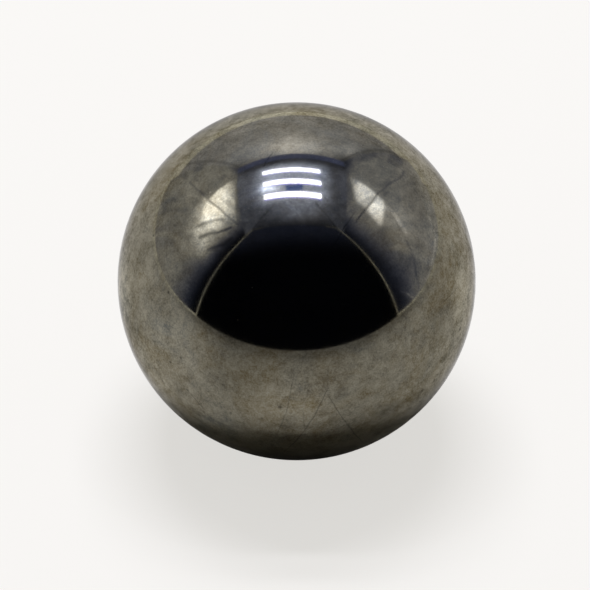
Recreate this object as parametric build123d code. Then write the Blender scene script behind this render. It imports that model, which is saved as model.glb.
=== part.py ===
from build123d import *
import os

# A loose steel ball: one solid piece, ground and lapped to a true sphere, with no hole, flat, seam or mark.
# Millimetres, +Z up, with the origin at the centre of the ball.

# Driving dimensions
BALL_DIAMETER = 25.4  # across the ball in every direction: one inch, a common stock size

# Worked out from the driving dimensions
BALL_RADIUS = BALL_DIAMETER / 2


def make_steel_ball():
    """The ball, solid right through and centred on the origin."""
    ball = Sphere(BALL_RADIUS)
    ball.label = "steel_ball"
    return ball


def write_part(shape):
    """Write one piece to the parts folder, in a file named for the piece."""
    os.makedirs("parts", exist_ok=True)
    export_step(shape, f"parts/{shape.label}.step")


write_part(make_steel_ball())
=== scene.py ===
import math
import random

import bpy
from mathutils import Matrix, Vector


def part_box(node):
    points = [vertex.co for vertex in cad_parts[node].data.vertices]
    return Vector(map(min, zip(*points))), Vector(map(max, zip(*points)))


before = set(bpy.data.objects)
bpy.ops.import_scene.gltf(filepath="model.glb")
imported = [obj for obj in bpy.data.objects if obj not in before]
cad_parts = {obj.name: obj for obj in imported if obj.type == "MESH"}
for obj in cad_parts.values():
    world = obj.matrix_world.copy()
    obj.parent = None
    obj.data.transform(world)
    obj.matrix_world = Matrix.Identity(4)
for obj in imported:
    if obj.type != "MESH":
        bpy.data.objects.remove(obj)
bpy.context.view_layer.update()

mm = 0.001
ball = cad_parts["steel_ball"]
ballLow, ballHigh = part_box("steel_ball")
ballRadius = (ballHigh.z - ballLow.z) / 2
floorLevel = ballLow.z
print("frame loaded: ball radius", round(ballRadius / mm, 3), "mm")


def hexToLinear(text):
    # sRGB hex such as "#8f8a80" to the linear colour that the shaders use
    parts = [int(text[i:i + 2], 16) / 255 for i in (1, 3, 5)]
    linear = [c / 12.92 if c <= 0.04045 else ((c + 0.055) / 1.055) ** 2.4 for c in parts]
    return (*linear, 1.0)


def addNode(tree, kind, settings=None, links=None):
    # settings go to the node's own properties or else to its sockets; links join outputs to its sockets
    node = tree.nodes.new("ShaderNode" + kind)
    for key, value in (settings or {}).items():
        if isinstance(key, str) and hasattr(node, key):
            setattr(node, key, value)
        else:
            node.inputs[key].default_value = value
    for key, output in (links or {}).items():
        tree.links.new(output, node.inputs[key])
    return node


def newMaterial(name):
    material = bpy.data.materials.new(name)
    material.use_nodes = True
    material.node_tree.nodes.clear()
    return material, material.node_tree


def combine(tree, operation, outputs):
    # all the outputs in one: MAXIMUM, MINIMUM, ADD or MULTIPLY
    total = outputs[0]
    for output in outputs[1:]:
        total = addNode(tree, "Math", {"operation": operation}, {0: total, 1: output}).outputs["Value"]
    return total


def softStep(near, far, low=0.0, high=1.0):
    # settings for a soft change from low to high while a length goes from near to far, in mm
    return {"interpolation_type": "SMOOTHSTEP", "From Min": near * mm, "From Max": far * mm, "To Min": low,
            "To Max": high}


def strayFrom(tree, place, scale, reach):
    # the place moved about at random, so that lines drawn from it aren't dead straight; scale and reach in mm
    noise = addNode(tree, "TexNoise", {"Scale": 1 / (scale * mm), "Detail": 3}, {"Vector": place})
    centred = addNode(tree, "VectorMath", {"operation": "SUBTRACT", 1: (0.5, 0.5, 0.5)},
                      {0: noise.outputs["Color"]})
    stray = addNode(tree, "VectorMath", {"operation": "SCALE", "Scale": reach * mm},
                    {0: centred.outputs["Vector"]})
    moved = addNode(tree, "VectorMath", {"operation": "ADD"}, {0: place, 1: stray.outputs["Vector"]})
    return moved.outputs["Vector"]


# The photograph's view: where the camera stands and where the ball lies in its frame of 590 pixels
shot = {
    "elevation": 41,
    "distanceRadii": 40,
    "imageSize": 590,
    "centrePixel": (296.6, 281.3),
    "outlinePixels": 179.1,
    "sensor": 36,
    "clip": (0.02, 20),          # nearest and farthest that the camera sees, in its distances from the ball
}
shotAngle = math.radians(shot["elevation"])
shotRight = Vector((1, 0, 0))
shotUp = Vector((0, math.sin(shotAngle), math.cos(shotAngle)))
shotBack = Vector((0, -math.cos(shotAngle), math.sin(shotAngle)))


def onBall(pixel):
    # the place on the ball that shows at a pixel of the photograph
    u = (pixel[0] - shot["centrePixel"][0]) / shot["outlinePixels"]
    v = (shot["centrePixel"][1] - pixel[1]) / shot["outlinePixels"]
    w = math.sqrt(max(0.0, 1 - u * u - v * v))
    return (shotRight * u + shotUp * v + shotBack * w) * ballRadius


# Steel: bearing steel, ground and lapped, then handled for years. It mirrors sharply and darkly, under a thin
# tarnish of grey-brown and blue-grey clouds with a fine grain, and with a few specks, stains and hairlines.
steelLook = {
    "brightHex": "#8d8979",      # where the tarnish is thin
    "brownHex": "#665c45",
    "blueHex": "#5a5c59",
    "speckHex": "#26231f",
    "edgeHex": "#f0ede6",        # tarnish keeps the rim from whitening as bare metal would,
    "tarnishEdgeHex": "#b9b8b2",  # the more so where it is thick
    "cloudMm": 1.1,              # across a tarnish cloud
    "cloudNoise": {"Detail": 5, "Roughness": 0.9, "Distortion": 0.3},
    "patchMm": 5.0,              # across a patch of one hue
    "patchNoise": {"Detail": 6, "Roughness": 0.7, "Distortion": 0.5},
    "hueRange": (0.4, 0.69),     # of the patches, from brown to blue
    "broadNoise": {"Detail": 2, "Roughness": 0.5, "Distortion": 0.4},
    "broadShift": 3,             # radii: slow changes of the thickness, drawn apart from the patches of hue
    "broadShare": 0.35,
    "grainMm": 0.13,             # fine haze of the worn surface; drawn coarser than real, so that it shows
    "grainNoise": {"Detail": 1},
    "grainShare": 0.38,
    "thickRange": (0.69, 1.04),  # of clouds, slow changes and grain together, from thin to thick
    "wipedPixel": (310, 180),    # around here the tarnish is more even and bluer, as if wiped
    "wipedMm": 11.0,
    "wipedShare": 0.42,
    "wipedThickness": 0.5,
    "speckCellMm": 1.0,          # one cell in three holds a speck
    "speckShare": 0.3,
    "speckMm": 0.13,             # largest radius of a speck
    "speckEdge": 14.0,           # how sharply a speck ends
    "speckDark": 0.34,
    "markEdge": (0.3, 1.3),      # a mark fades out between these shares of its radius
    "wobbleMm": 0.25,            # how far marks stray from their line
    "wobbleScaleMm": 1.4,
    "hairlineMm": 0.085,         # real hairlines are finer; drawn wide enough to show
    "hairlineFade": 0.6,         # share of a hairline's bulge over which its ends fade
    "hairlineDark": 0.75,
    "looseHairlines": 16,        # strewn over the whole ball
    "looseSeed": 5,
    "looseSpan": (0.1, 0.4),     # radii
    "looseStrength": (0.25, 0.6),
    "roughness": 0.045,
    "tarnishRoughness": 0.05,    # more where the tarnish is thick
    "speckRoughness": 0.3,
    "markDepthMm": 0.0015,
    # patches that the photograph shows, partly tarnish and partly painted light and shade of the mirror:
    # pixel, radius in mm, how much brighter and how much bluer
    "patches": {
        "rimLeft": ((121, 288), 2.5, 0.54, 0.8),
        "insideRimLeft": ((142, 300), 1.6, -0.13, 0.1),
        "belowRimLeft": ((150, 322), 2.4, 0.04, 0.2),
        "lowFarLeft": ((178, 352), 2.4, 0.18, 0.2),
        "lowerFarLeft": ((152, 368), 2.6, 0.28, 0.1),
        "rimRight": ((466, 300), 2.8, 0.34, -0.1),
        "rimUpperLeft": ((135, 240), 2.8, -0.2, 0.0),
        "lowLeft": ((240, 362), 2.8, -0.22, 0.0),
        "lowerLeft": ((222, 392), 2.6, -0.1, -0.15),
        "lowRight": ((385, 393), 3.0, -0.12, -0.1),
        "forkRight": ((344, 402), 2.2, -0.1, 0.0),
        "farRight": ((440, 320), 2.4, -0.14, -0.1),
        "rimUpperRight": ((452, 222), 3.2, -0.1, -0.2),
        "rimTop": ((296, 107), 3.0, 0.1, -0.1),
        "rimTopLeft": ((170, 166), 3.2, -0.06, -0.3),
        "rimTopRight": ((428, 163), 3.2, -0.08, -0.25),
        "upperRight": ((392, 185), 4.0, 0.0, 0.3),
        "belowMirror": ((296, 364), 4.0, 0.0, -0.2),
        "lowMiddle": ((296, 401), 2.6, 0.12, 0.0),
        "besideMirrorRight": ((432, 277), 1.8, -0.2, -0.1),
        "besideMirrorLeft": ((148, 256), 1.6, -0.2, -0.1),
        "mirrorCornerLeft": ((161, 290), 1.6, -0.16, 0.0),
        "lowEdgeLeft": ((212, 427), 2.4, 0.26, 0.3),
        "lowEdgeRight": ((376, 419), 2.4, -0.12, -0.2),
    },
    # hairlines that it shows, from pixel to pixel, each with its strength
    "hairlines": {
        "forkStem": ((327, 364), (327, 390), 0.3),
        "forkLeft": ((330, 380), (303, 431), 0.6),
        "forkLeftEnd": ((315, 411), (281, 452), 0.6),
        "forkRight": ((325, 388), (353, 431), 0.6),
        "forkRightEnd": ((343, 417), (371, 445), 0.7),
        "arc": ((294, 371), (286, 413), 0.42),
        "arcEnd": ((291, 394), (275, 438), 0.42),
        "crossing": ((303, 404), (305, 434), 0.35),
        "farLeft": ((191, 391), (206, 408), 0.8),
        "rimLeft": ((140, 364), (152, 368), 0.55),
    },
    # stains and specks that it shows: pixel, radius in mm, strength
    "marks": {
        "arcSpeck": ((280, 405), 0.16, 0.6),
        "lowSpeck": ((262, 416), 0.13, 0.4),
        "lowLeftSpeck": ((232, 411), 0.14, 0.45),
        "forkSpeck": ((308, 388), 0.11, 0.4),
        "mirrorEdgeSpeck": ((171, 292), 0.12, 0.7),
        "rimLeftSpeck": ((133, 307), 0.11, 0.6),
        "leftPair": ((183, 357), 0.15, 0.6),
        "leftPairSecond": ((172, 361), 0.13, 0.5),
        "leftLowSpeck": ((189, 389), 0.14, 0.5),
        "leftLowerSpeck": ((164, 380), 0.13, 0.4),
        "leftStain": ((160, 361), 0.25, 0.3),
        "edgeSpeck": ((120, 267), 0.12, 0.8),
        "rightTrio": ((459, 328), 0.2, 0.8),
        "rightTrioSecond": ((462, 332), 0.14, 0.6),
        "rightTrioThird": ((457, 337), 0.16, 0.5),
        "rightSpeck": ((450, 357), 0.2, 0.45),
        "rightLowSpeck": ((433, 380), 0.17, 0.5),
        "rightLowerSpeck": ((421, 390), 0.22, 0.45),
        "edgeRightSpeck": ((468, 262), 0.15, 0.5),
        "smudgeCore": ((396, 405), 0.3, 0.35),
        "smudge": ((391, 406), 0.9, 0.2),
        "forkStain": ((340, 392), 0.75, 0.22),
        "forkLowStain": ((345, 412), 0.5, 0.14),
        "rightStain": ((435, 310), 0.8, 0.18),
    },
}


def addHairline(tree, place, start, end, strength):
    # a fine groove along the great circle from start to end: its strength on the line, 0 away from it
    look = steelLook
    across = start.cross(end).normalized()
    middle = (start + end).normalized()
    reach = start.normalized().dot(middle) * ballRadius
    fade = (ballRadius - reach) * look["hairlineFade"]
    offset = addNode(tree, "VectorMath", {"operation": "DOT_PRODUCT", 1: across}, {0: place})
    away = addNode(tree, "Math", {"operation": "ABSOLUTE"}, {0: offset.outputs["Value"]})
    line = addNode(tree, "MapRange", softStep(0, look["hairlineMm"], strength, 0.0),
                   {"Value": away.outputs["Value"]})
    along = addNode(tree, "VectorMath", {"operation": "DOT_PRODUCT", 1: middle}, {0: place})
    ends = addNode(tree, "MapRange", {"From Min": reach, "From Max": reach + fade},
                   {"Value": along.outputs["Value"]})
    return combine(tree, "MULTIPLY", [line.outputs["Result"], ends.outputs["Result"]])


def addMark(tree, place, centre, radius, strength):
    # a soft round stain, strongest at its centre; radius in mm
    core, rim = steelLook["markEdge"]
    apart = addNode(tree, "VectorMath", {"operation": "DISTANCE", 1: centre}, {0: place})
    mark = addNode(tree, "MapRange", softStep(radius * core, radius * rim, strength, 0.0),
                   {"Value": apart.outputs["Value"]})
    return mark.outputs["Result"]


def looseHairlines():
    # hairlines strewn over the whole ball, the same in each run: start, end and strength
    look = steelLook
    draw = random.Random(look["looseSeed"])
    for _ in range(look["looseHairlines"]):
        start = Vector((draw.gauss(0, 1), draw.gauss(0, 1), draw.gauss(0, 1))).normalized()
        aside = Vector((draw.gauss(0, 1), draw.gauss(0, 1), draw.gauss(0, 1)))
        end = (start + aside.normalized() * draw.uniform(*look["looseSpan"])).normalized()
        yield start * ballRadius, end * ballRadius, draw.uniform(*look["looseStrength"])


def tarnishThickness(tree, place):
    # clouds, with slow changes below them and a fine grain on top: 0 where thin, 1 where thick
    look = steelLook
    clouds = addNode(tree, "TexNoise", {"Scale": 1 / (look["cloudMm"] * mm), **look["cloudNoise"]},
                     {"Vector": place})
    shift = (ballRadius * look["broadShift"], 0, 0)
    apart = addNode(tree, "VectorMath", {"operation": "ADD", 1: shift}, {0: place})
    broad = addNode(tree, "TexNoise", {"Scale": 1 / (look["patchMm"] * mm), **look["broadNoise"]},
                    {"Vector": apart.outputs["Vector"]})
    grain = addNode(tree, "TexNoise", {"Scale": 1 / (look["grainMm"] * mm), **look["grainNoise"]},
                    {"Vector": place})
    coarse = addNode(tree, "Math", {"operation": "MULTIPLY_ADD", 1: look["broadShare"]},
                     {0: broad.outputs["Fac"], 2: clouds.outputs["Fac"]})
    total = addNode(tree, "Math", {"operation": "MULTIPLY_ADD", 1: look["grainShare"]},
                    {0: grain.outputs["Fac"], 2: coarse.outputs["Value"]})
    thin, full = look["thickRange"]
    thick = addNode(tree, "MapRange", {"From Min": thin, "From Max": full}, {"Value": total.outputs["Value"]})
    return thick.outputs["Result"]


def tarnishAndPaintedLightColour(tree, place, thick):
    # brown and blue films over the brighter metal, with the patches that the photograph shows, partly tarnish
    # and partly painted light and shade of the mirror
    look = steelLook
    wiped = addMark(tree, place, onBall(look["wipedPixel"]), look["wipedMm"], look["wipedShare"])
    patches = addNode(tree, "TexNoise", {"Scale": 1 / (look["patchMm"] * mm), **look["patchNoise"]},
                      {"Vector": place})
    brown, blue = look["hueRange"]
    hue = addNode(tree, "MapRange", {"From Min": brown, "From Max": blue}, {"Value": patches.outputs["Fac"]})
    seen = look["patches"].values()
    blueTarnishAndPaintedLight = [addMark(tree, place, onBall(pixel), radius, bluer)
                   for pixel, radius, _, bluer in seen if bluer]
    paleTarnishAndPaintedLight = [addMark(tree, place, onBall(pixel), radius, paler)
                   for pixel, radius, paler, _ in seen if paler]
    film = addNode(tree, "Mix", {"data_type": "RGBA", 6: hexToLinear(look["brownHex"]),
                                 7: hexToLinear(look["blueHex"])},
                   {0: combine(tree, "ADD", [hue.outputs["Result"], wiped] + blueTarnishAndPaintedLight)})
    even = addNode(tree, "Mix", {3: look["wipedThickness"]}, {0: wiped, 2: thick})
    mottled = addNode(tree, "Mix", {"data_type": "RGBA", 6: hexToLinear(look["brightHex"])},
                      {0: even.outputs[0], 7: film.outputs[2]})
    # the pale patches brighten or darken the metal, partly as tarnish and partly as painted light and shade
    brighter = addNode(tree, "Math", {"operation": "ADD", 1: 1.0}, {0: combine(tree, "ADD", paleTarnishAndPaintedLight)})
    tarnishAndPaintedLight = addNode(tree, "Mix", {"data_type": "RGBA", "blend_type": "MULTIPLY", 0: 1.0},
                      {6: mottled.outputs[2], 7: brighter.outputs["Value"]})
    return tarnishAndPaintedLight.outputs[2]


def strewnSpecks(tree, place):
    # specks all over the ball, each of its own size: 1 in a speck and 0 outside
    look = steelLook
    cells = addNode(tree, "TexVoronoi", {"Scale": 1 / (look["speckCellMm"] * mm)}, {"Vector": place})
    draw = addNode(tree, "SeparateColor", links={"Color": cells.outputs["Color"]})
    radius = addNode(tree, "MapRange", {"clamp": False, "From Min": 1 - look["speckShare"],
                                        "To Max": look["speckMm"] / look["speckCellMm"]},
                     {"Value": draw.outputs["Red"]})
    inside = addNode(tree, "Math", {"operation": "SUBTRACT"}, {0: radius.outputs["Result"],
                                                               1: cells.outputs["Distance"]})
    specks = addNode(tree, "Math", {"operation": "MULTIPLY", "use_clamp": True, 1: look["speckEdge"]},
                     {0: inside.outputs["Value"]})
    return specks.outputs["Value"]


def lappedSteel():
    look = steelLook
    material, tree = newMaterial("lapped bearing steel")
    place = addNode(tree, "TexCoord").outputs["Object"]
    thick = tarnishThickness(tree, place)
    tarnishAndPaintedLight = tarnishAndPaintedLightColour(tree, place, thick)

    # specks, stains and hairlines, on places that stray about the ball's own face
    loose = strayFrom(tree, place, look["wobbleScaleMm"], look["wobbleMm"])
    outward = addNode(tree, "VectorMath", {"operation": "NORMALIZE"}, {0: loose})
    strayed = addNode(tree, "VectorMath", {"operation": "SCALE", "Scale": ballRadius},
                      {0: outward.outputs["Vector"]}).outputs["Vector"]
    specks = strewnSpecks(tree, strayed)
    stains = [addMark(tree, strayed, onBall(pixel), radius, strength)
              for pixel, radius, strength in look["marks"].values()]
    lines = [(onBall(start), onBall(end), strength) for start, end, strength in look["hairlines"].values()]
    lines += looseHairlines()
    grooves = combine(tree, "MAXIMUM", [addHairline(tree, strayed, *line) for line in lines])
    darkSpecks = addNode(tree, "Math", {"operation": "MULTIPLY", 1: look["speckDark"]}, {0: specks})
    darkGrooves = addNode(tree, "Math", {"operation": "MULTIPLY", 1: look["hairlineDark"]}, {0: grooves})
    dark = combine(tree, "MAXIMUM", [darkSpecks.outputs["Value"], darkGrooves.outputs["Value"]] + stains)
    colour = addNode(tree, "Mix", {"data_type": "RGBA", 7: hexToLinear(look["speckHex"])},
                     {0: dark, 6: tarnishAndPaintedLight})

    smooth = addNode(tree, "MapRange", {"To Min": look["roughness"],
                                        "To Max": look["roughness"] + look["tarnishRoughness"]},
                     {"Value": thick})
    rough = addNode(tree, "Math", {"operation": "MULTIPLY_ADD", 1: look["speckRoughness"]},
                    {0: specks, 2: smooth.outputs["Result"]})
    bump = addNode(tree, "Bump", {"invert": True, "Strength": 1.0, "Distance": look["markDepthMm"] * mm},
                   {"Height": combine(tree, "MAXIMUM", [specks, grooves])})
    edge = addNode(tree, "Mix", {"data_type": "RGBA", 6: hexToLinear(look["edgeHex"]),
                                 7: hexToLinear(look["tarnishEdgeHex"])}, {0: thick})
    shader = addNode(tree, "BsdfPrincipled", {"Metallic": 1.0},
                     {"Base Color": colour.outputs[2], "Roughness": rough.outputs["Value"],
                      "Specular Tint": edge.outputs[2], "Normal": bump.outputs["Normal"]})
    addNode(tree, "OutputMaterial", links={"Surface": shader.outputs["BSDF"]})
    return material


ball.material_slots[0].material = lappedSteel()
print("steel dressed")


# Light tent: what the ball mirrors, made of glowing panels whose light and shade are painted. Sizes in mm
# from the ball's centre, x to the right and y to the back.
tent = {
    "left": -530,
    "right": 455,
    "front": -242,
    "back": 703,
    "ceiling": 823,
    "yaw": 2.1,                  # degrees, the tent stands a little askew
    "leftBend": (-530, -238, 650),     # each front post bends in towards a corner of the ceiling
    "leftCorner": (-440, -182, 823),
    "rightBend": (455, -242, 720),
    "rightCorner": (375, -199, 823),
    "shadeHex": "#afbfff",       # what lies in shade takes the cool light of the lamps
    "fullAt": 0.59,              # brightness from which a side cloth shows its own colour
    "layer": 1,                  # what is sewn to the cloth lies this far in front of it
    # little light gets into the two high corners at the back
    "cornerShades": [((-500, 703, 790), (100, 100, 90), 0.4), ((455, 660, 790), (140, 140, 140), 0.6)],
}
tentFloor = floorLevel / mm
tentFrame = bpy.data.objects.new("tentFrame", None)
bpy.context.scene.collection.objects.link(tentFrame)
tentFrame.rotation_euler.z = math.radians(tent["yaw"])

# Tent cloth: thin woven nylon, creased from its folded state, so its painted light and shade are uneven
clothLook = {
    "strayScale": 90,            # mm: how its lines stray
    "creaseTurn": 50,            # degrees: the creases fall towards the back
    "crease": {"noise_type": "RIDGED_MULTIFRACTAL", "Scale": 1.0, "Detail": 3, "Roughness": 0.5,
               "Offset": 1.0, "Gain": 1.6, "Distortion": 0.8},
    "creaseRange": (0.4, 1.5),
    "crumple": {"Scale": 1.0, "Detail": 4, "Roughness": 0.6, "Distortion": 0.6},
    "crumpleRange": (0.3, 0.7),
}


def glowMaterial(name, hexColour, drawLevel, shadeHex=None, fullAt=1.0):
    # drawLevel is the brightness, or a function that adds the nodes for it; as it rises from 0 to fullAt,
    # the colour goes from shadeHex, where that is given, to hexColour
    material, tree = newMaterial(name)
    glow = addNode(tree, "Emission", {"Color": hexToLinear(hexColour)})
    if callable(drawLevel):
        level = drawLevel(tree)
        tree.links.new(level, glow.inputs["Strength"])
        if shadeHex:
            share = addNode(tree, "Math", {"operation": "MULTIPLY", "use_clamp": True, 1: 1 / fullAt},
                            {0: level})
            tint = addNode(tree, "Mix", {"data_type": "RGBA", 6: hexToLinear(shadeHex),
                                         7: hexToLinear(hexColour)}, {0: share.outputs["Value"]})
            tree.links.new(tint.outputs[2], glow.inputs["Color"])
    else:
        glow.inputs["Strength"].default_value = drawLevel
    addNode(tree, "OutputMaterial", links={"Surface": glow.outputs["Emission"]})
    material.cycles.emission_sampling = "NONE"
    return material


def inTent(point, axis, at=0):
    # a place on a flat panel as a place in the tent; axis is the one that the panel's places leave out
    return (*point[:axis], at, *point[axis:])


def rectangle(axis, at, low, high):
    # corners of a panel that stands or lies square in the tent
    return [inTent(corner, axis, at) for corner in (low, (high[0], low[1]), high, (low[0], high[1]))]


def addPanel(name, corners, material):
    # a glowing cloth panel, its light and shade painted, that only the mirror of the ball sees
    mesh = bpy.data.meshes.new(name)
    mesh.from_pydata([Vector(corner) * mm for corner in corners], [], [range(len(corners))])
    mesh.materials.append(material)
    panel = bpy.data.objects.new(name, mesh)
    bpy.context.scene.collection.objects.link(panel)
    panel.parent = tentFrame
    panel.visible_camera = panel.visible_diffuse = panel.visible_shadow = False
    panel.visible_transmission = panel.visible_volume_scatter = False


def softSpot(tree, place, centre, radii, peak):
    # a round glow of the given peak that falls off evenly on all sides; a radius of 0 leaves that axis out
    shares = [1 / (radius * mm) if radius else 0.0 for radius in radii]
    near = addNode(tree, "VectorMath", {"operation": "SUBTRACT", 1: Vector(centre) * mm}, {0: place})
    scaled = addNode(tree, "VectorMath", {"operation": "MULTIPLY", 1: shares}, {0: near.outputs["Vector"]})
    square = addNode(tree, "VectorMath", {"operation": "DOT_PRODUCT"}, {0: scaled.outputs["Vector"],
                                                                        1: scaled.outputs["Vector"]})
    fall = addNode(tree, "Math", {"operation": "MULTIPLY", 1: -1.0}, {0: square.outputs["Value"]})
    spot = addNode(tree, "Math", {"operation": "EXPONENT"}, {0: fall.outputs["Value"]})
    glow = addNode(tree, "Math", {"operation": "MULTIPLY", 1: peak}, {0: spot.outputs["Value"]})
    return glow.outputs["Value"]


def allSpots(tree, place, spots):
    # several glows together
    return combine(tree, "ADD", [softSpot(tree, place, *spot) for spot in spots])


def cornerKeep(tree, place):
    # the share of light that the shade in the high corners leaves
    shade = allSpots(tree, place, tent["cornerShades"])
    return addNode(tree, "Math", {"operation": "SUBTRACT", 0: 1.0}, {1: shade}).outputs["Value"]


def unevenness(tree, place, sizes, low, high, noise, noiseRange):
    # a level that goes from low to high by a noise of the given sizes in mm along x, y and z
    shares = [1 / (size * mm) for size in sizes]
    stretched = addNode(tree, "VectorMath", {"operation": "MULTIPLY", 1: shares}, {0: place})
    folds = addNode(tree, "TexNoise", noise, {"Vector": stretched.outputs["Vector"]})
    least, most = noiseRange
    level = addNode(tree, "MapRange", {"From Min": least, "From Max": most, "To Min": low, "To Max": high},
                    {"Value": folds.outputs["Fac"]})
    return level.outputs["Result"]


def crumple(tree, place, sizes, low, high):
    # painted light and shade of soft dents
    return unevenness(tree, place, sizes, low, high, clothLook["crumple"], clothLook["crumpleRange"])


def creases(tree, place, sizes, low, high):
    # painted light of sharp ridges, as in folded cloth; sizes in mm through the cloth, along the creases and
    # across
    turn = math.radians(clothLook["creaseTurn"])
    turned = addNode(tree, "VectorRotate", {"rotation_type": "X_AXIS", "Angle": turn}, {"Vector": place})
    return unevenness(tree, turned.outputs["Vector"], sizes, low, high, clothLook["crease"],
                      clothLook["creaseRange"])


def pastLine(tree, place, through, across, soft, low=0.0):
    # low before a line and 1 past it; the line goes through a place, and across is the way that it is passed
    way = Vector(across).normalized()
    height = addNode(tree, "VectorMath", {"operation": "DOT_PRODUCT", 1: way}, {0: place})
    level = way.dot(Vector(through))
    step = addNode(tree, "MapRange", softStep(level - soft, level + soft, low),
                   {"Value": height.outputs["Value"]})
    return step.outputs["Result"]


def addCrease(tree, flat, points, width, depth):
    # a line through the given places of a flat panel; gives its depth on the line and 0 away from it
    gaps = []
    for start, end in zip(points, points[1:]):
        first = Vector(start) * mm
        run = Vector(end) * mm - first
        offset = addNode(tree, "VectorMath", {"operation": "SUBTRACT", 1: first}, {0: flat})
        along = addNode(tree, "VectorMath", {"operation": "DOT_PRODUCT", 1: run / run.length_squared},
                        {0: offset.outputs["Vector"]})
        share = addNode(tree, "Clamp", links={"Value": along.outputs["Value"]})
        nearest = addNode(tree, "VectorMath", {"operation": "SCALE", 0: run},
                          {"Scale": share.outputs["Result"]})
        apart = addNode(tree, "VectorMath", {"operation": "DISTANCE"}, {0: offset.outputs["Vector"],
                                                                        1: nearest.outputs["Vector"]})
        gaps.append(apart.outputs["Value"])
    gap = combine(tree, "MINIMUM", gaps)
    line = addNode(tree, "MapRange", softStep(0, width, depth, 0.0), {"Value": gap})
    return line.outputs["Result"]


def allCreases(tree, place, axis, lines):
    # several creases on one panel, the strongest at each place; axis is the one that their places leave out
    level = addNode(tree, "VectorMath", {"operation": "MULTIPLY", 1: inTent((1, 1), axis)}, {0: place})
    drawn = [addCrease(tree, level.outputs["Vector"], [inTent(point, axis) for point in points], width, depth)
             for points, width, depth in lines.values()]
    return combine(tree, "MAXIMUM", drawn)


# Side walls: folded crosswise when packed, so each has four facets; the top and front ones carry the painted
# light of the lamps.
# Places on a wall are (y, z). Creases are painted shade and ridges painted light on the cloth: places, width,
# strength.
sideLook = {
    "stray": 28,
    "fallSlope": -0.8,           # the fold that falls towards the back
    "foldSoft": 8,
    "facetSoft": 16,             # how softly the light of a facet ends,
    "bandWidth": 60,             # with a dimmer band beside it
    "bandSoft": 40,
    "fadeFrom": -222,            # black beside the opening
    "topFrom": 640,              # less light close under the ceiling
    "cornerFrom": 520,           # and in the back corner
    "bounceHeight": 110,         # more light close to the floor, by the share that each wall gives
    "litCreases": ((150, 260, 60), 0.72, 1.32),     # sizes, then the darkest and the lightest level
    "clothCreases": ((160, 300, 90), 0.88, 1.2),
    "left": {
        "hex": "#f9f9ff",
        "baseLevel": 0.55,
        "bounce": 0.0,
        "topShade": 0.8,
        "cornerShade": 0.95,
        "frontLevel": 0.012,
        "fadeTo": 40,
        "fold": (335, 394),
        "lit": (281, 444),       # where the two lit facets start
        "topSlope": 1.43,
        "topBand": 0.05,
        "topGlow": ((0, 250, 560), (0, 210, 180), 3.4),
        "frontSlope": 0.95,
        "frontBand": 0.55,
        "frontGlow": ((0, 168, 455), (0, 138, 170), 4.7),
        "spills": {"back": ((0, 400, 270), (0, 110, 140), 0.12), "front": ((0, -20, 325), (0, 80, 70), 0.85)},
        "limits": {"ceiling": ((237, 775), (0.16, -1), 30, 0.0), "below": ((150, 386), (0, 1), 15, 0.68)},
        "creases": {
            "fold": ([(265, 450), (-65, 744)], 15, 0.85),
            "foldStart": ([(335, 392), (265, 450)], 13, 0.35),
            "foldBehind": ([(335, 394), (522, 238)], 15, 0.35),
            "facetEdge": ([(118, 313), (161, 355), (200, 381)], 13, 0.3),
            "innerPleat": ([(108, 310), (93, 396), (74, 485), (53, 569)], 20, 0.68),
            "middlePleat": ([(29, 311), (9, 384), (-29, 484), (-43, 574), (-53, 635)], 25, 0.75),
            "outerPleat": ([(-82, 330), (-106, 400), (-136, 488), (-143, 607)], 26, 0.6),
        },
        "ridges": {
            "inner": ([(140, 330), (118, 400), (98, 490)], 16, 0.2),
            "middle": ([(62, 330), (46, 410), (14, 520)], 20, 0.35),
            "short": ([(101, 314), (51, 340)], 11, 0.4),
            "high": ([(312, 630), (200, 620), (97, 626)], 22, 0.2),
        },
    },
    "right": {
        "hex": "#f4f4fe",
        "baseLevel": 0.56,
        "bounce": 0.4,
        "topShade": 0.7,
        "cornerShade": 0.72,
        "frontLevel": 0.045,
        "fadeTo": 35,
        "fold": (224, 427),
        "lit": (228, 442),
        "topSlope": 1.55,
        "topBand": 0.08,
        "topGlow": ((0, 265, 550), (0, 180, 150), 2.9),
        "frontSlope": 1.47,
        "frontBand": 0.12,
        "frontGlow": ((0, 115, 440), (0, 130, 130), 3.6),
        "spills": {"front": ((0, 85, 240), (0, 105, 85), 0.4)},
        "limits": {"ceiling": ((376, 757), (0.33, -1), 30, 0.0), "front": ((90, 570), (2.4, -1), 32, 0.05),
                   "below": ((100, 372), (0, 1), 18, 0.12)},
        "creases": {
            "fold": ([(224, 427), (-54, 641)], 16, 0.85),
            "foldBehind": ([(224, 427), (326, 323), (395, 231), (504, 130)], 14, 0.4),
            "foldBelow": ([(224, 427), (156, 363), (53, 237), (2, 132), (-42, 69), (-71, 18)], 12, 0.3),
        },
        "ridges": {
            "besideFold": ([(138, 354), (122, 292), (90, 245), (66, 198)], 24, 0.6),
            "foot": ([(243, 64), (199, 20), (146, 15), (67, 9), (-9, 4)], 10, 0.55),
            "footFront": ([(-178, 83), (-126, 7)], 9, 0.9),
        },
    },
}


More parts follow.
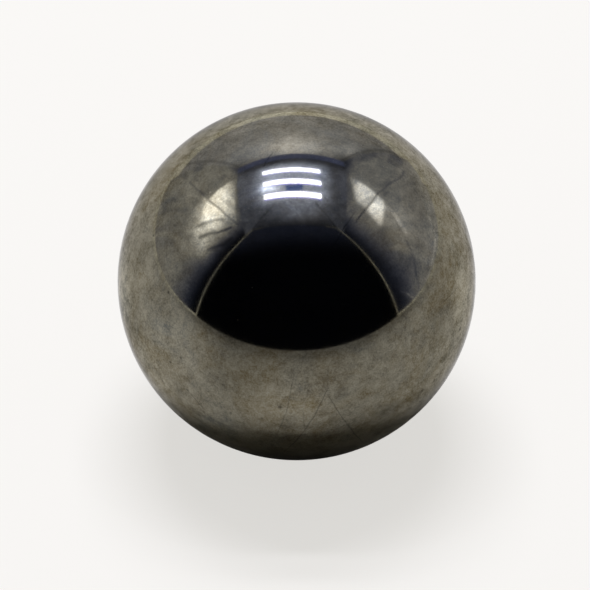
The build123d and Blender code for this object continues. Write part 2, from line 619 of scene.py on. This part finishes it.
def sideLevel(tree, wall):
    look = sideLook
    place = addNode(tree, "TexCoord").outputs["Object"]
    uneven = strayFrom(tree, place, clothLook["strayScale"], look["stray"])
    axes = addNode(tree, "SeparateXYZ", links={0: place})

    def facet(glow, slope, share):
        # the lit facet above a line, with a dimmer band beside it
        across = Vector((0, -slope, 1)).normalized()
        corner = Vector(inTent(wall["lit"], 0))
        full = pastLine(tree, uneven, corner, across, look["facetSoft"])
        beside = pastLine(tree, uneven, corner - across * look["bandWidth"], across, look["bandSoft"])
        band = addNode(tree, "Math", {"operation": "MULTIPLY", 1: share}, {0: beside})
        shape = combine(tree, "MAXIMUM", [full, band.outputs["Value"]])
        return combine(tree, "MULTIPLY", [softSpot(tree, place, *glow), shape])

    front = facet(wall["frontGlow"], wall["frontSlope"], wall["frontBand"])
    top = facet(wall["topGlow"], wall["topSlope"], wall["topBand"])
    fall = pastLine(tree, uneven, inTent(wall["fold"], 0), (0, -look["fallSlope"], 1), look["foldSoft"])
    glow = addNode(tree, "Mix", links={0: fall, 2: front, 3: top})
    limits = [pastLine(tree, uneven, inTent(through, 0), inTent(across, 0), soft, low)
              for through, across, soft, low in wall["limits"].values()]
    lit = combine(tree, "MULTIPLY", [glow.outputs[0], creases(tree, place, *look["litCreases"])] + limits)

    fades = [
        ("Y", look["fadeFrom"], wall["fadeTo"], wall["frontLevel"], wall["baseLevel"]),
        ("Y", look["cornerFrom"], tent["back"], 1.0, wall["cornerShade"]),
        ("Z", look["topFrom"], tent["ceiling"], 1.0, wall["topShade"]),
        ("Z", tentFloor, look["bounceHeight"], 1 + wall["bounce"], 1.0),
    ]
    steps = [addNode(tree, "MapRange", softStep(*fade), {"Value": axes.outputs[axis]})
             for axis, *fade in fades]
    base = combine(tree, "MULTIPLY", [step.outputs["Result"] for step in steps])
    even = combine(tree, "ADD", [base, allSpots(tree, place, wall["spills"].values())])
    cloth = addNode(tree, "Math", {"operation": "MULTIPLY_ADD"},
                    {0: even, 1: creases(tree, place, *look["clothCreases"]), 2: lit})
    light = allCreases(tree, uneven, 0, wall["ridges"])
    dark = allCreases(tree, uneven, 0, wall["creases"])
    change = addNode(tree, "Math", {"operation": "SUBTRACT"}, {0: light, 1: dark})
    keep = addNode(tree, "Math", {"operation": "ADD", 1: 1.0}, {0: change.outputs["Value"]})
    return combine(tree, "MULTIPLY", [cloth.outputs["Value"], keep.outputs["Value"], cornerKeep(tree, place)])


# Back wall: its painted light is brightest high up in its middle. Its cloth runs round both corners, so their
# seams lie on it.
# Places on it are (x, z).
backLook = {
    "hex": "#f0f1ff",
    "baseLevel": 0.66,
    "crumple": ((110, 110, 150), 0.82, 1.18),
    "glows": {
        "high": ((-20, 0, 665), (240, 0, 225), 1.3),
        "low": ((-40, 0, 250), (230, 0, 230), 0.32),
        "left": ((-430, 0, 530), (120, 0, 110), 0.28),
        "right": ((365, 0, 530), (70, 0, 90), 0.25),
    },
    "creases": {
        "left": ([(-426, 0), (-461, 155), (-470, 276), (-491, 535), (-496, 820)], 24, 0.32),
        "right": ([(452, 20), (422, 104), (423, 316), (424, 497), (428, 820)], 24, 0.32),
    },
    "sides": {"left": ((-460, 400), (1, 0.08), 10, 0.86), "right": ((423, 400), (-1, 0), 10, 0.7)},
}


def backLevel(tree):
    look = backLook
    place = addNode(tree, "TexCoord").outputs["Object"]
    glow = allSpots(tree, place, look["glows"].values())
    level = addNode(tree, "Math", {"operation": "ADD", 1: look["baseLevel"]}, {0: glow})
    seams = allCreases(tree, place, 1, look["creases"])
    keep = addNode(tree, "Math", {"operation": "SUBTRACT", 0: 1.0}, {1: seams})
    sides = [pastLine(tree, place, inTent(through, 1), inTent(across, 1), soft, low)
             for through, across, soft, low in look["sides"].values()]
    return combine(tree, "MULTIPLY", [level.outputs["Value"], keep.outputs["Value"], cornerKeep(tree, place),
                                      crumple(tree, place, *look["crumple"])] + sides)


# Lamps: three strips under the ceiling, which they light up around them
lampLook = {
    "strips": [420, 268, 121],   # y of each strip
    "skew": -0.048,              # they hang a little askew
    "left": -268,
    "right": 208,
    "width": 53,
    "drop": 2,                   # below the ceiling
    "lightLevel": 31.0,          # radiance that lights the floor
    "hex": "#f6f7ff",
    "mirrorLevel": 15.0,         # radiance that the ball mirrors, enough for a clean white bar
    "mirrorHex": "#dfe6ff",
    "edgeHex": "#5f50ff",        # violet fringe along the front edge
    "edgeLevel": 3.8,
    "edgeSoftness": 5,
    "fringe": 9,
    "beadPitch": 22,             # the lamp's beads show as teeth along both edges; real ones are 17 mm apart,
    "toothDepth": 5.0,           # drawn coarser so that they show
}
ceilingLook = {
    "hex": "#cad6ff",
    "shadeHex": "#d1d8fa",
    "fullAt": 1.0,
    "baseLevel": 0.26,
    "haloLevel": 1.35,
    "haloReach": 80,
    "stray": 20,
    "crumple": ((80, 80, 80), 0.7, 1.3),
    "glows": {
        "front": ((20, -15, 823), (170, 120, 0), 0.7),
        "left": ((-400, 260, 823), (110, 150, 0), 0.3),
        "leftEnd": ((-530, 420, 823), (100, 290, 0), 0.28),
        "right": ((430, 330, 823), (80, 190, 0), 0.27),
        "glare": ((-290, 255, 823), (32, 40, 0), 1.1),          # by the end of the middle strip
        "glareInside": ((-232, 228, 823), (52, 34, 0), 11.0),    # between the strips
        "glareTail": ((-165, 196, 823), (60, 30, 0), 2.0),
        "glareAbove": ((-190, 350, 823), (60, 34, 0), 1.0),
        "behind": ((-80, 485, 823), (230, 40, 0), 0.75),
        "between": ((60, 352, 823), (130, 30, 0), 0.5),
    },
    # the front facet lies between two creases that run in from the front corners; places are (x, y); the
    # creases are painted shade
    "creases": {
        "left": ([(-440, -180), (-266, -36), (-170, 42)], 13, 0.5),
        "right": ([(375, -195), (233, -49), (150, 36)], 13, 0.55),
        "arch": ([(257, 79), (310, 115), (359, 133), (410, 120), (443, 98)], 14, 0.25),
    },
    "facetSides": {"left": ((-266, -36), (0.815, -1)), "right": ((233, -49), (-1.03, -1))},
    "facetSoft": 8,
    "darkLevel": 0.21,
    "darkFrom": -60,             # the front of the ceiling lies in shade
    "darkTo": -215,
    "backFrom": 480,             # and so, less, does its back edge
    "backShade": 0.4,
    "seamDepth": 100,            # dark binding along the back seam
    "seamHex": "#aebcff",
    "seamLevel": 0.42,
    "hatch": ((-80, 150), (58, 238)),  # closed flap between two strips
    "hatchHex": "#7a9bff",
    "hatchLevel": 1.05,
}


def ceilingLevel(tree):
    look, lamps = ceilingLook, lampLook
    place = addNode(tree, "TexCoord").outputs["Object"]
    axes = addNode(tree, "SeparateXYZ", links={0: place})

    # painted light of the lamps: full within the rectangle that they span, and falling off outside it
    rows = lamps["strips"]
    middle = Vector(((lamps["left"] + lamps["right"]) / 2, (rows[0] + rows[-1]) / 2, tent["ceiling"])) * mm
    half = Vector(((lamps["right"] - lamps["left"]) / 2, (rows[0] - rows[-1]) / 2, 0)) * mm
    offset = addNode(tree, "VectorMath", {"operation": "SUBTRACT", 1: middle}, {0: place})
    folded = addNode(tree, "VectorMath", {"operation": "ABSOLUTE"}, {0: offset.outputs["Vector"]})
    past = addNode(tree, "VectorMath", {"operation": "SUBTRACT", 1: half}, {0: folded.outputs["Vector"]})
    outside = addNode(tree, "VectorMath", {"operation": "MAXIMUM", 1: (0, 0, 0)}, {0: past.outputs["Vector"]})
    reach = look["haloReach"]
    halo = softSpot(tree, outside.outputs["Vector"], (0, 0, 0), (reach, reach, 0), look["haloLevel"])
    level = addNode(tree, "Math", {"operation": "ADD", 1: look["baseLevel"]}, {0: halo})
    lit = combine(tree, "ADD", [level.outputs["Value"], allSpots(tree, place, look["glows"].values())])

    shade = addNode(tree, "MapRange", softStep(look["darkTo"], look["darkFrom"], look["darkLevel"]),
                    {"Value": axes.outputs["Y"]})
    sides = [pastLine(tree, place, inTent(through, 2), inTent(across, 2), look["facetSoft"])
             for through, across in look["facetSides"].values()]
    front = addNode(tree, "Mix", {2: 1.0}, {0: combine(tree, "MINIMUM", sides), 3: shade.outputs["Result"]})
    edge = addNode(tree, "MapRange", softStep(look["backFrom"], tent["back"], 1.0, look["backShade"]),
                   {"Value": axes.outputs["Y"]})
    uneven = strayFrom(tree, place, clothLook["strayScale"], look["stray"])
    lines = allCreases(tree, uneven, 2, look["creases"])
    keep = addNode(tree, "Math", {"operation": "SUBTRACT", 0: 1.0}, {1: lines})
    return combine(tree, "MULTIPLY", [lit, front.outputs[0], edge.outputs["Result"], keep.outputs["Value"],
                                      cornerKeep(tree, place), crumple(tree, place, *look["crumple"])])


# Opening: the front of the tent, left open, so plain and dark, and a little lighter high up: a dim sheet of
# painted shade
openingLook = {"level": 0.005, "topLevel": 0.08, "topFrom": 330}


def openingLevel(tree):
    look = openingLook
    axes = addNode(tree, "SeparateXYZ", links={0: addNode(tree, "TexCoord").outputs["Object"]})
    rise = softStep(look["topFrom"], tent["ceiling"], look["level"], look["topLevel"])
    level = addNode(tree, "MapRange", rise, {"Value": axes.outputs["Z"]})
    return level.outputs["Result"]


# Piping: light edging along the front corners and along the foot of the side walls; and the pale hem at the
# foot of the back wall
pipeLook = {"width": 8, "hex": "#f6f4ec", "postLevel": 0.62, "footLevel": 1.0, "topLevel": 0.2, "topRun": 120}
hemLook = {"hex": "#f6f5f2", "height": 75, "level": 1.12, "glow": ((0, 0, 0), (230, 0, 0), 0.5)}


def hemLevel(tree):
    glow = softSpot(tree, addNode(tree, "TexCoord").outputs["Object"], *hemLook["glow"])
    return addNode(tree, "Math", {"operation": "ADD", 1: hemLook["level"]}, {0: glow}).outputs["Value"]


def tentCloths():
    t = tent
    left, right, front, back, top = t["left"], t["right"], t["front"], t["back"], t["ceiling"]
    for tag, x in (("Left", left), ("Right", right)):
        wall = sideLook[tag.lower()]
        cloth = glowMaterial("tent side cloth", wall["hex"], lambda tree: sideLevel(tree, wall),
                             t["shadeHex"], t["fullAt"])
        addPanel("tent" + tag, rectangle(0, x, (front, tentFloor), (back, top)), cloth)
    addPanel("tentBack", rectangle(1, back, (left, tentFloor), (right, top)),
             glowMaterial("tent back cloth", backLook["hex"], backLevel))
    addPanel("tentCeiling", rectangle(2, top, (left, front), (right, back)),
             glowMaterial("tent ceiling cloth", ceilingLook["hex"], ceilingLevel, ceilingLook["shadeHex"],
                          ceilingLook["fullAt"]))
    addPanel("tentOpening", [(left, front, tentFloor), (right, front, tentFloor), t["rightBend"],
                             t["rightCorner"], t["leftCorner"], t["leftBend"]],
             glowMaterial("tent opening", t["shadeHex"], openingLevel))


def tentEdging():
    # what is sewn to the cloth: seam binding, hatch, piping and hems
    t = tent
    left, right, front, back, layer = t["left"], t["right"], t["front"], t["back"], t["layer"]
    under = t["ceiling"] - layer
    addPanel("tentSeam", rectangle(2, under, (left, back - ceilingLook["seamDepth"]), (right, back)),
             glowMaterial("tent seam binding", ceilingLook["seamHex"], ceilingLook["seamLevel"]))
    addPanel("tentHatch", rectangle(2, under, *ceilingLook["hatch"]),
             glowMaterial("tent hatch", ceilingLook["hatchHex"], ceilingLook["hatchLevel"]))
    post = glowMaterial("tent post piping", pipeLook["hex"], pipeLook["postLevel"])
    foot = glowMaterial("tent foot piping", pipeLook["hex"], pipeLook["footLevel"])
    hemTop = glowMaterial("tent front hem", pipeLook["hex"], pipeLook["topLevel"])
    wide = pipeLook["width"]
    step = Vector((0, wide, 0))
    for tag, x, side in (("Left", left, 1), ("Right", right, -1)):
        inside = Vector((side * layer, 0, -layer))  # just inside the cloth
        corner = Vector(t[tag.lower() + "Corner"])
        topEnd = corner + Vector((side * pipeLook["topRun"], 0, 0))
        places = [(x, front, tentFloor), t[tag.lower() + "Bend"], corner, topEnd]
        run = [Vector(place) + inside for place in places]
        for number, piping in enumerate((post, post, hemTop)):
            low, high = run[number], run[number + 1]
            addPanel(f"post{tag}{number}", [low, low + step, high + step, high], piping)
        addPanel("foot" + tag, rectangle(0, x + side * layer, (front + wide, tentFloor),
                                         (back, tentFloor + wide)), foot)
    addPanel("hemBack", rectangle(1, back - layer, (left, tentFloor), (right, tentFloor + hemLook["height"])),
             glowMaterial("tent hem", hemLook["hex"], hemLevel))


def barLevel(tree, row):
    # full in the bar, with teeth along its edges and a fringe in front of it
    look = lampLook
    axes = addNode(tree, "SeparateXYZ", links={0: addNode(tree, "TexCoord").outputs["Object"]})
    turn = addNode(tree, "Math", {"operation": "MULTIPLY", 1: math.tau / (look["beadPitch"] * mm)},
                   {0: axes.outputs["X"]})
    teeth = addNode(tree, "Math", {"operation": "SINE"}, {0: turn.outputs["Value"]})
    middle = (look["left"] + look["right"]) / 2
    straight = addNode(tree, "Math", {"operation": "MULTIPLY_ADD", 1: -look["skew"]},
                       {0: axes.outputs["X"], 2: axes.outputs["Y"]})
    offset = addNode(tree, "Math", {"operation": "SUBTRACT", 1: (row - look["skew"] * middle) * mm},
                     {0: straight.outputs["Value"]})
    away = addNode(tree, "Math", {"operation": "ABSOLUTE"}, {0: offset.outputs["Value"]})
    reach = addNode(tree, "Math", {"operation": "MULTIPLY_ADD", 1: look["toothDepth"] * mm},
                    {0: teeth.outputs["Value"], 2: away.outputs["Value"]})
    half = look["width"] / 2
    soft = look["edgeSoftness"]
    edge = softStep(half - soft, half + soft, look["mirrorLevel"], look["edgeLevel"])
    level = addNode(tree, "MapRange", edge, {"Value": reach.outputs["Value"]})
    return level.outputs["Result"]


def lampStrips():
    look = lampLook
    left, right = look["left"], look["right"]
    length = right - left
    z = tent["ceiling"] - look["drop"]
    half = look["width"] / 2 + look["edgeSoftness"]
    rise = look["skew"] * length / 2
    for number, y in enumerate(look["strips"]):
        bar = glowMaterial("lamp bar", look["mirrorHex"], lambda tree: barLevel(tree, y), look["edgeHex"],
                           look["mirrorLevel"])
        near, far = y - half - look["fringe"], y + half
        addPanel(f"bar{number}", [(left, near - rise, z), (right, near + rise, z), (right, far + rise, z),
                                  (left, far - rise, z)], bar)
        lamp = bpy.data.lights.new(f"strip{number}", "AREA")
        lamp.shape = "RECTANGLE"
        lamp.size, lamp.size_y = length * mm, look["width"] * mm
        lamp.color = hexToLinear(look["hex"])[:3]
        lamp.energy = look["lightLevel"] * math.pi * lamp.size * lamp.size_y
        holder = bpy.data.objects.new(f"strip{number}", lamp)
        holder.location = Vector((left + length / 2, y, z)) * mm
        holder.rotation_euler.z = math.atan(look["skew"])
        holder.parent = tentFrame
        holder.visible_camera = holder.visible_glossy = False
        bpy.context.scene.collection.objects.link(holder)


tentCloths()
tentEdging()
lampStrips()
print("light tent up")


# Floor: a plain pale sheet. Away from the ball it fades to its own even tone, as does most of what the camera
# sees, so the shadow stays light. Over it lies painted shade, which only the ball mirrors: towards the tent's
# opening, behind the ball and where it touches the sheet.
floorLook = {
    "hex": "#fbf9f5",
    "reach": 6.0,                # metres
    "fadeStart": 200,
    "fadeEnd": 520,
    "cameraLift": 0.7,
    "shadeLift": 0.2,            # the shade lies just above the sheet
    "shadeFrom": 8,
    "shadeNear": -20,
    "shadeTo": -115,
    "nearShade": 0.14,
    "farShade": 0.45,
    "behindShade": ((2, 46, 0), (27, 38, 0), 0.38),
    "contactShade": ((0, -6, 0), (5.5, 5, 0), 0.62),
    "behindTo": 160,
}


def paleFloor():
    look = floorLook
    material, tree = newMaterial("pale sheet")
    colour = hexToLinear(look["hex"])
    place = addNode(tree, "TexCoord").outputs["Object"]
    distance = addNode(tree, "VectorMath", {"operation": "LENGTH"}, {0: place})
    far = addNode(tree, "MapRange", softStep(look["fadeStart"], look["fadeEnd"]),
                  {"Value": distance.outputs["Value"]})
    path = addNode(tree, "LightPath")
    lift = addNode(tree, "Math", {"operation": "MULTIPLY", 1: look["cameraLift"]},
                   {0: path.outputs["Is Camera Ray"]})
    even = combine(tree, "MAXIMUM", [far.outputs["Result"], lift.outputs["Value"]])
    near = addNode(tree, "BsdfDiffuse", {"Color": colour})
    glow = addNode(tree, "Emission", {"Color": colour, "Strength": 1.0})
    mix = addNode(tree, "MixShader", links={0: even, 1: near.outputs["BSDF"], 2: glow.outputs["Emission"]})
    addNode(tree, "OutputMaterial", links={"Surface": mix.outputs["Shader"]})
    material.cycles.emission_sampling = "NONE"
    mesh = bpy.data.meshes.new("floor")
    r = look["reach"]
    mesh.from_pydata([(-r, -r, 0), (r, -r, 0), (r, r, 0), (-r, r, 0)], [], [(0, 1, 2, 3)])
    mesh.materials.append(material)
    floor = bpy.data.objects.new("floor", mesh)
    floor.location.z = floorLevel
    bpy.context.scene.collection.objects.link(floor)


def floorShade():
    # painted shade: a dark sheet, seen only in the ball's mirror, that darkens the floor under it
    look = floorLook
    material, tree = newMaterial("shade by the opening")
    place = addNode(tree, "TexCoord").outputs["Object"]
    axes = addNode(tree, "SeparateXYZ", links={0: place})
    near = addNode(tree, "MapRange", {"From Min": look["shadeFrom"] * mm, "From Max": look["shadeNear"] * mm,
                                      "To Max": look["nearShade"]}, {"Value": axes.outputs["Y"]})
    far = addNode(tree, "MapRange", {"From Min": look["shadeNear"] * mm, "From Max": look["shadeTo"] * mm,
                                     "To Max": look["farShade"]}, {"Value": axes.outputs["Y"]})
    spots = allSpots(tree, place, [look["behindShade"], look["contactShade"]])
    amount = combine(tree, "ADD", [near.outputs["Result"], far.outputs["Result"], spots])
    clear = addNode(tree, "BsdfTransparent")
    black = addNode(tree, "Emission", {"Strength": 0.0})
    mix = addNode(tree, "MixShader", links={0: amount, 1: clear.outputs["BSDF"],
                                            2: black.outputs["Emission"]})
    addNode(tree, "OutputMaterial", links={"Surface": mix.outputs["Shader"]})
    addPanel("floorShade", rectangle(2, tentFloor + look["shadeLift"], (tent["left"], tent["front"]),
                                     (tent["right"], look["behindTo"])), material)


paleFloor()
floorShade()

# World: soft fill that comes from above; the camera sees the floor's own tone
worldLook = {"hex": "#fbfaf8", "fill": 0.26}


def paleWorld():
    world = bpy.data.worlds.new("studio")
    bpy.context.scene.world = world
    world.use_nodes = True
    tree = world.node_tree
    tree.nodes.clear()
    axes = addNode(tree, "SeparateXYZ", links={0: addNode(tree, "TexCoord").outputs["Generated"]})
    above = addNode(tree, "MapRange", {"To Max": worldLook["fill"]}, {"Value": axes.outputs["Z"]})
    fill = addNode(tree, "Background", {"Color": hexToLinear(worldLook["hex"])},
                   {"Strength": above.outputs["Result"]})
    pale = addNode(tree, "Background", {"Color": hexToLinear(floorLook["hex"]), "Strength": 1.0})
    path = addNode(tree, "LightPath")
    seen = combine(tree, "MAXIMUM", [path.outputs[ray] for ray in
                                     ("Is Camera Ray", "Is Glossy Ray", "Is Transmission Ray")])
    mix = addNode(tree, "MixShader", links={0: seen, 1: fill.outputs["Background"],
                                            2: pale.outputs["Background"]})
    addNode(tree, "OutputWorld", links={"Surface": mix.outputs["Shader"]})


paleWorld()
print("floor and world set")


def photoCamera():
    # turned, not shifted, so that the ball's centre and outline lie where the photograph has them
    s = shot
    camera = bpy.data.cameras.new("camera")
    holder = bpy.data.objects.new("camera", camera)
    bpy.context.scene.collection.objects.link(holder)
    distance = s["distanceRadii"] * ballRadius
    half = s["imageSize"] / 2
    perPixel = ballRadius / s["outlinePixels"]
    centreX, centreY = s["centrePixel"]
    aim = (shotRight * (half - centreX) + shotUp * (centreY - half)) * perPixel
    holder.location = shotBack * distance
    holder.rotation_euler = (aim - holder.location).to_track_quat("-Z", "Y").to_euler()
    outlineTangent = ballRadius / math.sqrt(distance ** 2 - ballRadius ** 2)
    camera.sensor_width = s["sensor"]
    camera.lens = s["sensor"] / 2 / (outlineTangent * half / s["outlinePixels"])
    near, far = s["clip"]
    camera.clip_start, camera.clip_end = distance * near, distance * far
    bpy.context.scene.camera = holder


photoCamera()
bpy.context.scene.view_settings.view_transform = "Standard"
print("camera placed")
